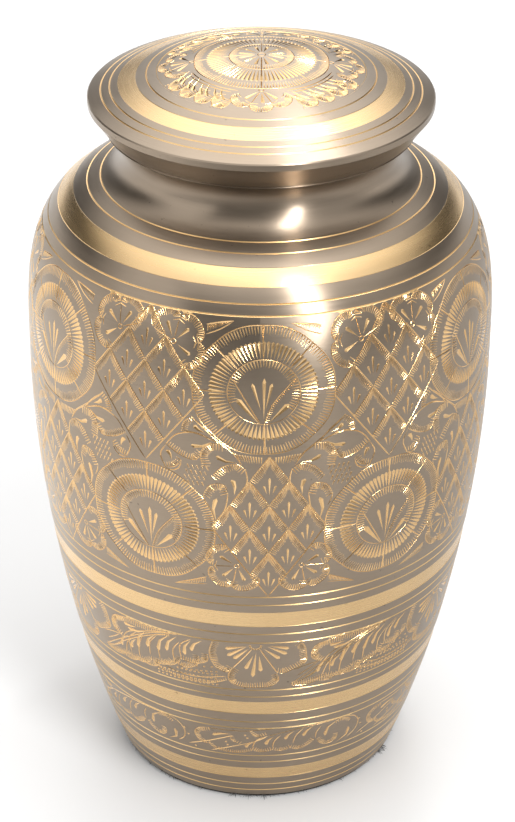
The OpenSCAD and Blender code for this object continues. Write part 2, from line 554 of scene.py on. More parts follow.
# %% The spray of leaves
def leaf_spray():
    """Leaves measured from the middle of the round flower above and to the right of them."""
    fringed = [
        ([[-25.5, -15.6], [-24.6, -12.4], [-22.1, -10.0]], -1, 2.0),
        ([[-30.5, -21.9], [-25.2, -25.0], [-20.8, -25.6], [-18.9, -23.1]], 1, 2.2),
        ([[-18.9, -27.5], [-19.3, -22.5], [-16.4, -19.1], [-12.7, -18.8]], -1, 2.7),
        ([[-30.8, -30.3], [-27.6, -29.4], [-25.5, -26.9]], 1, 2.0),
        ([[-15.8, -30.9], [-12.1, -26.9], [-7.7, -25.9], [-5.5, -27.5]], -1, 2.5),
        ([[-18.6, -38.1], [-16.4, -34.4], [-12.1, -33.8], [-10.8, -36.9]], -1, 2.5),
    ]
    lines = [
        [[-13.3, -19.4], [-17.4, -14.2], [-22.1, -10.3]],
        [[-14.6, -18.4], [-19.6, -16.0], [-25.2, -15.6]],
        [[-22.1, -10.3], [-15.0, -16.8], [-8.3, -22.5]],
        [[-13.9, -18.4], [-22.1, -15.9], [-27.1, -17.5], [-30.5, -21.6]],
        [[-13.3, -18.8], [-9.6, -21.6], [-6.4, -26.3]],
        [[-30.5, -21.9], [-32.4, -25.6], [-31.1, -29.7]],
        [[-5.5, -27.5], [-4.9, -31.9], [-8.3, -38.8]],
        [[-10.8, -36.9], [-11.8, -43.0], [-14.6, -48.4]],
        [[-18.6, -38.1], [-18.2, -40.6], [-17.0, -42.8]],
        [[-30.8, -30.3], [-28.9, -31.0], [-26.2, -29.4], [-25.5, -26.9]],
    ]
    bold = [
        ([-17.7, -15.6], [-21.4, -13.1], 0.08),
        ([-15.8, -18.4], [-22.4, -20.6], 0.14),
        ([-8.0, -25.3], [-14.6, -23.4], 0.12),
        ([-28.6, -27.2], [-30.2, -23.8], -0.1),
        ([-8.9, -37.5], [-9.6, -31.6], -0.1),
        ([-14.6, -48.1], [-14.4, -39.2], 0.12),
    ]
    parts = [fringe(path, side, length) for path, side, length in fringed]
    parts += [cut_line(path, 0.4, 0.14) for path in lines]
    parts += [strokes([root], [end], 1.5, 0.25, bend) for root, end, bend in bold]
    rows = np.array([(-23.6 + 1.5 * i - 0.5 * j, -27.6 - 2.0 * j) for j in range(4) for i in range(5)])
    parts.append(ticks(rows, rows + [0.7, -1.5], 0.5))
    fan = np.stack([np.linspace(-8.2, -0.6, 10), -22.2 - 0.1 * np.arange(10)], axis=1)
    parts.append(ticks(fan, fan + np.stack([np.linspace(1.2, 0, 10), np.full(10, -2.6)], 1), 0.5))
    return joined(parts)


# %% [markdown]
# One repeat of the band is sixty degrees wide. Each of the six is cut afresh, so that the lengths and
# widths of its ticks differ a little from the others, as they do when a hand cuts them.

# %% Laying out the flower band
FLOWER_RADIUS = 75.0
REPEATS = 6


def flower_repeat():
    """One sixty-degree repeat, with the upper round flower's middle at (0, 0)."""
    corner = (118, 42, -32), 39, 10.8
    foot = (146, 222, 292), 38, 10.6
    return joined([
        placed(round_flower(), 0.0, 0.0),
        placed(round_flower(), -37.0, -52.2),
        placed(lattice(19.5, 27.0), -37.6, -2.1),
        placed(lattice(18.2, 27.7), 1.9, -50.4),
        leaf_spray(),
        placed(leaf_spray(), 3.2, 0.0, mirror=True),
        placed(half_flower(*corner), -28.4, 14.5),
        placed(half_flower(*corner), 31.0, 14.7, mirror=True),
        placed(half_flower(*foot), -8.3, -65.6),
        placed(half_flower(*foot), 12.6, -65.6, mirror=True),
        placed(thorn(8.8, 4.8), -18.3, 18.2),
        placed(thorn(10.0, 4.3), 18.6, 18.0, mirror=True),
        placed(thorn(11.3, -1.9), -18.2, -74.2, mirror=True),
        placed(thorn(9.7, -1.9), 21.6, -74.0),
    ])


def repeated(one_repeat, radius, x=0.0, y=0.0):
    """REPEATS copies round the urn, each cut afresh, the first of them moved to (x, y)."""
    pitch = TURN * radius / REPEATS
    return joined([placed(one_repeat(), x + k * pitch, y) for k in range(REPEATS)])


flower_cuts = repeated(flower_repeat, FLOWER_RADIUS, 1.3, 78.6)
print("flower band facets:", len(flower_cuts[1]))

# %% [markdown]
# ## The two scroll bands
#
# Below the flowers run two narrower friezes of acanthus, the curling leaf that classical ornament is
# full of. A long spine carries lobes with fringed ends; between the lobes lie bold strokes that swell
# like brush marks. The points are set out on the urn itself, as an angle in degrees round it and a
# height in mm, and then laid flat.


# %% From angle and height to the flat
def flat_on(zone, radius):
    """A helper that turns (angle in degrees, height in mm) into mm on the flat zone: the angle times
    the radius, and the distance along the outline above the foot of the zone."""
    low = zone_places[zone][0]

    def flat(points):
        points = np.atleast_2d(np.array(points, float))
        up = np.interp(points[:, 1], body_line.points[:, 1], body_line.s) - low
        return np.stack([np.radians(points[:, 0]) * radius, up], axis=1)

    return flat


def frieze(flat, fringed, lines, bold, pits):
    """One repeat of a scroll band from its lists of fringed edges, lines, bold strokes and dots."""
    parts = [fringe(flat(path), 1, length, 0.8) for path, length in fringed]
    parts += [cut_line(flat(path), 0.42, 0.15) for path in lines]
    parts += [strokes(flat(a), flat(b), 1.45, 0.25, bend) for a, b, bend in bold]
    parts += [dots(flat(places)) for places in pits]
    return joined(parts)


# %% [markdown]
# The upper scroll lies just under the flowers. Half flowers hang from the line above it, and an acanthus
# leaf curls away from each side of them.


# %% The upper scroll
HIGH_RADIUS = 68.0
on_high = flat_on("scroll_band_high", HIGH_RADIUS)


def high_repeat():
    """Half a flower hanging from the line above, with an acanthus leaf curling away on each side."""
    fringed = [
        ([(-12.5, 80.2), (-13.5, 75), (-13, 71), (-10.5, 67), (-8.5, 66.5), (-7.3, 68.5)], 2.4),
        ([(-7.3, 68.5), (-8.5, 65), (-8, 62), (-5, 60), (0, 59.8), (4, 60.5), (6, 63.5), (5.5, 66)], 2.4),
        ([(5.5, 66.5), (7, 66.3), (10, 68), (13.5, 71), (13.3, 75), (12.5, 79), (11.5, 80.3)], 2.4),
        ([(-25, 80), (-33, 79.9), (-40, 79.5), (-44, 77.5), (-45.3, 75), (-44.8, 72), (-42.5, 70)], 2.2),
        ([(-50, 60), (-46, 59.8), (-42, 61)], 1.6),
        ([(-42, 60.5), (-39, 60.4), (-36.5, 62)], 2.0),
        ([(-36.5, 62.5), (-33, 61.4), (-30, 62.5), (-29, 65)], 2.2),
        ([(-28.5, 65), (-26, 64.6), (-24, 66), (-22, 69)], 2.0),
        ([(-22, 69), (-18, 68.5), (-14, 71), (-13.9, 73.5)], 2.2),
        ([(-31, 62.5), (-26, 60.8), (-20, 60), (-14, 60.3), (-9, 62.5)], 1.3),
        ([(19.5, 79.2), (16, 78), (15, 76), (15.5, 73), (17.5, 70.5)], 2.0),
        ([(10, 60.3), (15, 61), (20, 62.3)], 1.8),
        ([(20.5, 62), (25, 61.5), (28, 64)], 2.0),
        ([(28, 64.3), (32, 64), (35, 66.5)], 2.0),
        ([(35.5, 66.5), (39, 65.5), (43, 68.5), (43.5, 72)], 2.2),
    ]
    lines = [
        [(-51, 60.5), (-40, 70.5), (-33, 76), (-27, 79.3), (-22, 80.2)],
        [(-47, 62.5), (-38, 71), (-31, 76.2), (-25, 79.2)],
        [(-42.5, 70), (-40.5, 69.5)],
        [(-7.3, 68.3), (-4.4, 73), (-1.6, 78)],
        [(5.5, 66.5), (3, 72), (0.4, 78)],
        [(-37, 72), (-40, 68.5), (-41.5, 63)],
        [(-33.5, 75.5), (-36, 68), (-36.3, 63)],
        [(-25, 79), (-28.5, 74), (-29, 66)],
        [(-18.5, 79.5), (-21.8, 76), (-22, 70)],
        [(-27.8, 64), (-22, 62.3), (-16, 62.6), (-9, 64.5)],
        [(10, 60.5), (17, 66), (20, 72.5), (27, 77), (30, 78.5), (35, 80)],
        [(10, 67.5), (13, 69), (17.5, 70.3)],
        [(11, 64.5), (15, 68), (17, 70)],
        [(24, 75), (21, 71), (20.7, 64)],
        [(31, 77), (28.5, 73), (27.8, 66.5)],
        [(38, 77), (35.8, 73), (35.8, 67)],
    ]
    bold = [
        ((-3, 79), (-9, 77.5), 0), ((-3, 79), (-8.5, 74.3), 0), ((-2.5, 78), (-6.8, 73), 0),
        ((-1.3, 75), (-3.5, 68.5), 0), ((-0.5, 76.5), (-1.5, 64.8), 0), ((0.3, 75), (0.8, 67.5), 0),
        ((1.5, 78), (6, 73.3), 0), ((2.5, 79), (8, 75.3), 0), ((3, 79.3), (8.5, 77.8), 0),
        ((-32, 77.5), (-39, 75.3), 0.1), ((-36.5, 71.5), (-38.8, 66.3), -0.14),
        ((-29.5, 77), (-32.7, 70), -0.14), ((-22.5, 79.3), (-26.3, 71.2), -0.14),
        ((-15.2, 79.8), (-18.7, 74), -0.14), ((24.5, 77.3), (19.8, 76.8), 0.05),
        ((20.5, 71.5), (17, 64.8), -0.14), ((27.5, 77.3), (24, 67.7), -0.14),
        ((35, 79), (31, 70), -0.14), ((41.5, 79), (39.3, 71.5), -0.14),
    ]
    t = np.linspace(0, 1, 9)[:, None]
    pits = [np.array([-0.7, 79.3]) + 1.5 * spokes(1, 1, np.arange(7) * 30 - 180)[0]]
    pits.append((1 - t) * [-23.5, 64.6] + t * [-11.8, 66])
    pits.append((1 - t[::2]) * [-22, 66.7] + t[::2] * [-13, 68])
    for row, start in ((64.5, 36.5), (62.6, 31), (61.1, 30), (59.8, 30)):
        pits.append([(angle, row) for angle in np.arange(start, 49, 1.3)])
    return frieze(on_high, fringed, lines, bold, pits)


high_cuts = repeated(high_repeat, HIGH_RADIUS)
print("upper scroll facets:", len(high_cuts[1]))

# %% [markdown]
# The lower scroll, near the foot, is a row of the same leaves drawn smaller, each with its tip curled
# against the next one.


# %% The lower scroll
LOW_RADIUS = 60.0
on_low = flat_on("scroll_band_low", LOW_RADIUS)


def low_repeat():
    """A single long acanthus leaf that ends in a tight curl against the next one."""
    fringed = [
        ([(-16, 37.3), (-19, 36.5), (-21, 34), (-20.5, 31), (-18.5, 28.8), (-16.5, 28.5)], 1.9),
        ([(-16.5, 29), (-15, 27), (-12.5, 26.5)], 1.3),
        ([(-9, 34), (-8.5, 32), (-6, 30.5)], 1.4),
        ([(-2.5, 37), (-0.5, 34.5), (2.8, 35.5)], 1.5),
        ([(-13, 26), (-7, 25.5), (-2, 26.8)], 1.6),
        ([(-1.8, 27.5), (1, 26.3), (4.5, 27)], 1.8),
        ([(5, 27.3), (8, 26.6), (11, 27.8)], 1.8),
        ([(11, 27.5), (14, 26.6), (17, 28), (19, 30)], 1.9),
        ([(20, 30), (22, 27.3), (25, 26.2), (27.5, 28), (27.8, 30.5)], 1.9),
        ([(31.5, 36.5), (28.6, 38.3), (26, 37.6)], 1.5),
    ]
    lines = [
        [(-24, 26.5), (-17, 30), (-8, 34.8)],
        [(-16, 25.3), (-8, 29), (0, 32.5), (3, 34.5)],
        [(-16, 37.2), (-3, 37.6), (1, 38.2), (5, 38.6)],
        [(3.5, 35), (-0.5, 32.5), (-1.8, 28.5)],
        [(7.5, 35), (5.5, 32), (5, 28.5)],
        [(15, 37.5), (12.5, 34), (11.8, 30)],
        [(21, 37), (19.5, 34), (19.5, 31)],
        [(29, 38.6), (33, 37.2), (35.3, 33), (34.5, 29), (32, 26.5)],
        [(3, 34.8), (12, 37.4), (22, 38.4), (29, 38.5)],
    ]
    bold = [
        ((-8.5, 35.3), (-15, 33.8), -0.08), ((-1.5, 31.5), (-4, 28.7), -0.12),
        ((5.3, 34.5), (2.7, 30.3), -0.12), ((12, 36.7), (9, 32.6), -0.12),
        ((18.5, 38), (15, 33.2), -0.12), ((27, 38.2), (22.9, 31), -0.2),
        ((28, 25.6), (31.5, 32.3), -0.25),
    ]
    pits = [[(-10.5, 31), (-10, 29.5), (-4, 35.3), (-3.3, 33.8), (-21.5, 26), (-23.5, 31.5), (-24.6, 34.5)]]
    return frieze(on_low, fringed, lines, bold, pits)


low_cuts = repeated(low_repeat, LOW_RADIUS)
print("lower scroll facets:", len(low_cuts[1]))

# %% [markdown]
# ## The medallion on the lid
#
# The top of the lid carries one large round flower with a twelve-rayed star at its heart, and a wreath
# of half flowers and curling leaves round it. It is drawn on a flat disc, seen from above with the
# viewer's side at the bottom.


# %% The lid's medallion
MEDALLION = 33.4
MEDALLION_MARGIN = 0.3


def wreath_leaf():
    """A curved leaf of the wreath, from 20 to 70 degrees: four fringed lobes on the outside edge, each
    with its strokes, and a spine on the inside."""
    parts = []
    for k, direction in enumerate((27, 39, 51, 63)):
        middle = np.radians(direction)
        out = np.array([np.cos(middle), np.sin(middle)])
        along = np.array([-out[1], out[0]])
        lobe = [26.4 * out - 3.1 * along, 30.6 * out - 3.0 * along, 33.3 * out - 0.4 * along]
        lobe += [32.2 * out + 2.5 * along, 28.8 * out + 3.3 * along]
        parts.append(fringe(lobe, 1, 2.9, 0.66))
        for shift in (-1.3, 0.9):
            root = 23.3 * out + (shift - 3.6) * along
            parts.append(strokes([root], [29.2 * out + shift * along], 1.3, 0.24, -0.1))
    parts += [cut_line(arc(r, 9, *ends), 0.42, 0.14) for r, ends in ((23.4, (18, 70)), (24.6, (22, 66)))]
    return joined(parts)


def medallion():
    """Rings, rays and star about the middle, then the wreath outside the ring."""
    parts = [
        cut_line(arc(21.8, 97, scallop=0.4), 0.3, 0.12, closed=True),
        ticks(*spokes(21.6, 18.9, np.arange(136) * 360 / 136)),
        strokes(*spokes(10.7, 17.8, np.arange(72) * 5.0), 1.15, 0.2),
        cut_line(arc(10.4, 61), 0.26, 0.1, closed=True),
        ticks(*spokes(10.3, 8.0, np.arange(72) * 5.0), 0.5),
    ]
    parts += [straight(*ray, 0.42, 0.15) for ray in zip(*spokes(2.0, 21.6, np.arange(8) * 45.0))]
    parts.append(strokes(*spokes(2.2, 7.6, np.arange(12) * 30.0 + 15), 1.2, 0.24))
    parts.append(cut_line(arc(1.25, 19), 0.34, 0.12, step=0.5, closed=True))
    for quarter in range(4):
        turn = 90 * quarter
        flower = placed(half_flower((-52, 0, 52), 27, 11.0), 22.3, 0)
        parts += [placed(flower, 0, 0, turn=turn), placed(wreath_leaf(), 0, 0, turn=turn + 2)]
        angles = np.array([24.0, 28.0, 32.0, 62.0, 68.0]) + turn
        parts += [dots(spokes(r, r, angles)[0], 0.55, 0.15) for r in (32.2, 33.1)]
    return joined(parts)


medallion_cuts = medallion()
print("medallion facets:", len(medallion_cuts[1]))

# %% [markdown]
# ## Cutting the marks into the metal
#
# Thousands of marks overlap each other, as they do under a real graver, and where two cross the deeper
# one wins. Blender can lay a net of triangles over a flat drawing so that every edge of every mark is
# an edge of the net. The depth of a point of the net is then the greatest depth of the marks that it
# lies in, and the net is bent onto the wall only at the end.


# %% A net of triangles over a drawing
SLIVER = 0.02
NET_MERGE = 1e-5
EDGE_SLACK = 0.02


def netted(cuts, outlines, filling):
    """The drawing's net: flat corners, their depths, the triangles, whether each is part of a cut and
    which of the outlines it lies in. A facet's depth is its first corner's plus a share of the rise
    along each of the two sides that meet there, and a corner of the net takes the greatest depth of the
    facets round it. Facets narrower than about SLIVER are left out."""
    points, facets = cuts
    a, b, c = points[facets[:, 0]], points[facets[:, 1]], points[facets[:, 2]]
    longest = np.max([np.hypot(*(q - p)[:, :2].T) for p, q in ((a, b), (b, c), (c, a))], axis=0)
    e, f = b - a, c - a
    area = e[:, 0] * f[:, 1] - e[:, 1] * f[:, 0]
    sound = np.abs(area) > SLIVER * (longest + 0.05)
    facets, a, e, f, area = (x[sound] for x in (facets, a, e, f, area))
    wound = np.where((area > 0)[:, None], facets, facets[:, ::-1])
    flat = np.concatenate(outlines + [filling, points[:, :2]])
    starts = np.cumsum([0] + [len(o) for o in outlines])
    regions = [list(range(i, j)) for i, j in zip(starts[:-1], starts[1:])]
    polygons = regions + (wound + starts[-1] + len(filling)).tolist()
    made = delaunay_2d_cdt(flat.tolist(), [], polygons, 1, NET_MERGE, True)
    corners = np.array([tuple(v) for v in made[0]])
    count = len(regions)
    kept = [(f3, own) for f3, own in zip(made[2], made[5]) if own and min(own) < count]
    faces = np.array([face for face, _ in kept])
    region = np.array([min(own) for _, own in kept])
    owned = [[k - count for k in own if k >= count] for _, own in kept]
    face_of = np.repeat(np.arange(len(faces)), [len(own) for own in owned])
    facet_of = np.array(list(itertools.chain.from_iterable(owned)), int)
    middle = corners[faces].mean(axis=1)

    def shares(where, k):
        """How far a place lies along the two sides of facet k that meet at its first corner."""
        away = where - a[k, :2]
        u = (away[:, 0] * f[k, 1] - away[:, 1] * f[k, 0]) / area[k]
        v = (e[k, 0] * away[:, 1] - e[k, 1] * away[:, 0]) / area[k]
        return u, v

    u, v = shares(middle[face_of], facet_of)
    inside = (u > -EDGE_SLACK) & (v > -EDGE_SLACK) & (u + v < 1 + EDGE_SLACK)
    face_of, facet_of = face_of[inside], facet_of[inside]
    depth = np.zeros(len(corners))
    for k in range(3):
        corner = faces[face_of, k]
        u, v = shares(corners[corner], facet_of)
        value = a[facet_of, 2] + np.clip(u, 0, 1) * e[facet_of, 2] + np.clip(v, 0, 1) * f[facet_of, 2]
        np.maximum.at(depth, corner, value)
    cut = np.zeros(len(faces), bool)
    cut[face_of] = True
    return corners, depth, faces, cut, region


def at_both_ends(cuts, width):
    """Adds the marks that cross either end of a band again at the other end, a turn away."""
    points, facets = cuts
    turns_away = np.round(points[facets][:, :, 0].mean(axis=1) / width)
    home = points[facets] - turns_away[:, None, None] * np.array([width, 0, 0])
    x = home[:, :, 0]
    past_right = home[x.max(axis=1) > width / 2 - 0.01]
    past_left = home[x.min(axis=1) < 0.01 - width / 2]
    every = np.concatenate([home, past_right - [width, 0, 0], past_left + [width, 0, 0]])
    return every.reshape(-1, 3), np.arange(len(every) * 3).reshape(-1, 3)


# %% [markdown]
# ## From arrays to a mesh
#
# A facet of a cut is flat and is lit as flat. The skin between the cuts is part of a smooth round wall,
# so each of its corners is given the wall's own direction, and the net under it can't be seen.


# %% Making a mesh
def own_normals(mesh, sizes):
    """The flat normal of its face, for each corner of each face."""
    return np.repeat(read(mesh.polygons, "normal", 3), sizes, axis=0)


def mesh_piece(name, corners, faces, directions=None, flat=None, finish=None):
    """A mesh from corners in mm and faces. directions are the smooth normals of the corners, flat marks
    the faces that keep their own, and finish is each face's material number."""
    mesh = bpy.data.meshes.new(name)
    mesh.from_pydata((corners * MM).tolist(), [], faces)
    mesh.update()
    count = len(mesh.polygons)
    mesh.polygons.foreach_set("use_smooth", np.ones(count, bool))
    if finish is not None:
        mesh.polygons.foreach_set("material_index", np.asarray(finish, np.int32))
    if directions is not None:
        sizes = read(mesh.polygons, "loop_total", kind=np.int32)
        smooth = directions[read(mesh.loops, "vertex_index", kind=np.int32)]
        chosen = np.where(np.repeat(flat, sizes)[:, None], own_normals(mesh, sizes), smooth)
        mesh.normals_split_custom_set(chosen.tolist())
    piece = bpy.data.objects.new(name, mesh)
    bpy.context.scene.collection.objects.link(piece)
    shared = np.bincount(read(mesh.loops, "edge_index", kind=np.int32), minlength=len(mesh.edges))
    triangles = sum(len(f) - 2 for f in faces)
    print(name, "triangles:", triangles, "edges not shared by two faces:", int((shared != 2).sum()))
    return piece


def on_wall(x, s, depth, radius):
    """Bends flat points onto the wall: x over radius is the angle, s the distance along the outline,
    and depth goes inwards. Returns the places and the wall's outward directions."""
    place, heading = body_line.surface(s, depth), body_line.at(s)[1]
    around = facing(x / radius)
    points = np.concatenate([place[:, :1] * around, place[:, 1:]], axis=1)
    return points, np.concatenate([heading[:, 1:] * around, -heading[:, :1]], axis=1)


def recess_outline(zone):
    """Where an engraved band's back lies: RECESS under the skin, lowest point first."""
    return body_line.surface(np.linspace(*zone_places[zone], RECESS_POINTS), np.full(RECESS_POINTS, RECESS))


# %% [markdown]
# The three engraved zones are closed pieces that fill shallow recesses in the wall, because each zone
# carries far more facets than one piece should. Each is parted into four sectors of a quarter turn.
# The upper and lower edges lie in the turned lines, where the real urn has a change of tool too, and
# the upright joints run under the engraving with the same corners on both sides, so none shows.


# %% Engraved bands
SECTORS = 4
GRID_STEP = 2.4
CLEAR_OF_LINE = 0.1


def sector_piece(name, corners, depth, faces, cut, x_low, x_high, zone, radius):
    """One closed sector: the cut face, a back RECESS under the skin, narrow faces above and below, and
    an upright wall at each end, which is one flat polygon."""
    s_low, s_high = zone_places[zone]
    height = s_high - s_low
    used, faces = np.unique(faces, return_inverse=True)
    faces = faces.reshape(-1, 3)
    x, y, depth = corners[used, 0], corners[used, 1], depth[used]
    groove = LINE_DEPTH * np.clip(1 - np.minimum(y, height - y) / (0.5 * LINE_WIDTH), 0, 1)
    places, directions = on_wall(x, y + s_low, np.maximum(depth, groove), radius)
    turned = groove[faces].max(axis=1) > 1e-6
    steps = ROUND // SECTORS
    column = np.round((x - x_low) / (x_high - x_low) * steps).astype(int)
    rims = []
    for edge in (y < 1e-4, y > height - 1e-4):
        rim = np.zeros(steps + 1, int)
        rim[column[edge]] = np.flatnonzero(edge)
        rims.append(rim)
    back = recess_outline(zone)
    around = facing(np.linspace(x_low, x_high, steps + 1) / radius)
    rows = [np.column_stack([r * around, np.full(steps + 1, z)]) for r, z in back]
    rings = [rims[0]] + [len(x) + j * (steps + 1) + np.arange(steps + 1) for j in range(len(back))]
    rings.append(rims[1])
    pairs = zip(rings[:-1], rings[1:])
    quads = np.concatenate([np.stack([a[:-1], b[:-1], b[1:], a[1:]], axis=1) for a, b in pairs])
    walls = []
    for x_end, k in ((x_low, 0), (x_high, -1)):
        front = np.flatnonzero(np.abs(x - x_end) < 1e-4)
        wall = front[np.argsort(y[front])].tolist() + [int(ring[k]) for ring in rings[1:-1]][::-1]
        walls.append(wall if k == 0 else wall[::-1])
    every = np.concatenate([places] + rows)
    directions = np.concatenate([directions, np.zeros((len(every) - len(places), 3))])
    flat = np.r_[cut | turned, np.ones(len(quads) + 2, bool)]
    kind = np.where(turned, TURNED_LINE, np.where(cut, ENGRAVED, SKIN))
    finish = np.r_[kind, np.full(len(quads) + 2, SKIN)]
    return mesh_piece(name, every, faces.tolist() + quads.tolist() + walls, directions, flat, finish)


def engraved_band(zone, cuts, radius):
    """The sectors of one zone. The flat net is as wide as a turn at this radius. Its long edges have
    ROUND points, as every circle of the wall has, and it has an upright line at each joint."""
    width, height = TURN * radius, zone_places[zone][1] - zone_places[zone][0]
    points, facets = at_both_ends(cuts, width)
    margin = 0.5 * LINE_WIDTH + CLEAR_OF_LINE
    points[:, 1] = np.clip(points[:, 1], margin, height - margin)
    xs = (np.arange(ROUND + 1) / ROUND - 0.5) * width
    ys = np.linspace(0, height, int(height / GRID_STEP) + 1)
    line_edges = 0.5 * LINE_WIDTH, height - 0.5 * LINE_WIDTH
    upright = np.sort(np.append(ys, line_edges))
    joints = np.linspace(0, ROUND, SECTORS + 1).astype(int)
    outlines = []
    for i, j in zip(joints[:-1], joints[1:]):
        row = xs[i: j + 1]
        sides = [(row, 0 * row), (0 * upright + row[-1], upright)]
        sides += [(row[::-1], 0 * row + height), (0 * upright + row[0], upright[::-1])]
        outlines.append(np.concatenate([np.stack(side, 1)[:-1] for side in sides]))
    inner = np.delete(xs, joints)
    grid = np.stack(np.meshgrid(inner, ys[1:-1]), axis=-1).reshape(-1, 2)
    edges = [np.stack([inner, 0 * inner + y], 1) for y in line_edges]
    corners, depth, faces, cut, region = netted((points, facets), outlines, np.concatenate([grid] + edges))
    pieces = []
    for k in range(SECTORS):
        mine = region == k
        ends = xs[joints[k]], xs[joints[k + 1]]
        name = f"{zone}_{k + 1}"
        pieces.append(sector_piece(name, corners, depth, faces[mine], cut[mine], *ends, zone, radius))
    return pieces


engraved = engraved_band("flower_band", flower_cuts, FLOWER_RADIUS)
engraved += engraved_band("scroll_band_high", high_cuts, HIGH_RADIUS)
engraved += engraved_band("scroll_band_low", low_cuts, LOW_RADIUS)


# %% [markdown]
# ## The vessel
#
# The real body is spun from sheet or cast and turned, hollow, with a wall a little under two
# millimetres. One closed outline carries the underside, the turned outside, the flat of the mouth and
# the plain inside, and it is revolved once.


# %% The turned vessel
MOUTH_CORNER = (50.0, 236.5)


def vessel_outline():
    """Outline points, and the finish after each one, from the middle of the underside, up the outside,
    over the mouth and down the inside to the middle of the floor."""
    points, finish = [[[0.0, body_line.points[0, 1]]]], [[SKIN]]
    s = 0.0
    for zone in ("scroll_band_low", "scroll_band_high", "flower_band"):
        low, high = zone_places[zone]
        stretch, bare = turned_stretch(s, low)
        points += [stretch, recess_outline(zone)]
        finish += [bare, np.full(RECESS_POINTS, SKIN)]
        s = high
    stretch, bare = turned_stretch(s, body_line.length)
    points += [stretch, [MOUTH_CORNER], body_inside[::-1], [[0.0, body_inside[0, 1]]]]
    finish += [bare, np.full(len(body_inside) + 1, SKIN)]
    return np.concatenate(points), np.concatenate(finish).astype(int)


def vessel_piece():
    """The closed outline revolved, with edges over SHARP_DEGREES left sharp."""
    outline, finish = vessel_outline()
    corners, strips = revolved(outline)
    finish = np.repeat(finish, [len(strip) for strip in strips])
    piece = mesh_piece("urn_vessel", corners, without_repeats(np.concatenate(strips)), finish=finish)
    piece.data.set_sharp_from_angle(angle=np.radians(SHARP_DEGREES))
    return piece


urn_vessel = vessel_piece()

# %% [markdown]
# ## The lid
#
# The lid is a shallow dome with a sharp edge, a plain band under it and a slanted underside. A skirt
# drops into the mouth and keeps it from sliding off. Two fine circles, a gold band and two more circles
# are turned on the dome round the medallion.


# %% The lid's turned outline
LID_LINES = [36.9, 48.7, 51.6]
LID_BAND = (40.3, 46.1)
# A radius just inside the sharp edge, and the height of the edge
LID_EDGE = (55.5, 246.6)
LID_STEP = 1.1
# The inside corner at the foot of the skirt
SKIRT_FOOT = (39.5, 224.5)
on_dome = lid_outside[:, 1] >= LID_EDGE[1] - 1e-6
dome = lid_outside[on_dome]
dome = dome[np.argsort(dome[:, 0])]


def dome_height(radius):
    """Height of the dome at a radius."""
    return np.interp(radius, dome[:, 0], dome[:, 1])


def dome_stretch(start):
    """Points from radius start to the lid's edge, with the circles and the gold band cut in."""
    stops = {round(r, 3): (0.0, SKIN) for r in np.arange(start, LID_EDGE[0] - 0.3, LID_STEP)}
    for line in [start] + LID_LINES:
        for r in [r for r in stops if abs(r - line) < 0.45]:
            stops.pop(r)
        for away, depth, bare in LINE_PROFILE:
            if line + away * LINE_WIDTH >= start - 1e-6:
                stops[round(line + away * LINE_WIDTH, 3)] = (depth, bare)
    low, high = LID_BAND
    for r in [r for r in stops if low - 0.3 < r < high + 0.3]:
        stops.pop(r)
    stops[low] = (0.0, TURNED_LINE)
    for r in np.linspace(low + BAND_EDGE, high - BAND_EDGE, 5):
        stops[round(r, 3)] = (BAND_DEPTH, BAND)
    stops[high] = (0.0, SKIN)
    radii = sorted(stops)
    return [[r, dome_height(r) - stops[r][0]] for r in radii], [stops[r][1] for r in radii]


# %% [markdown]
# The lid is one closed mesh. A net carries the medallion in the middle, and rings of the turned outline
# make everything outside it. The two meet corner to corner on the medallion's border.


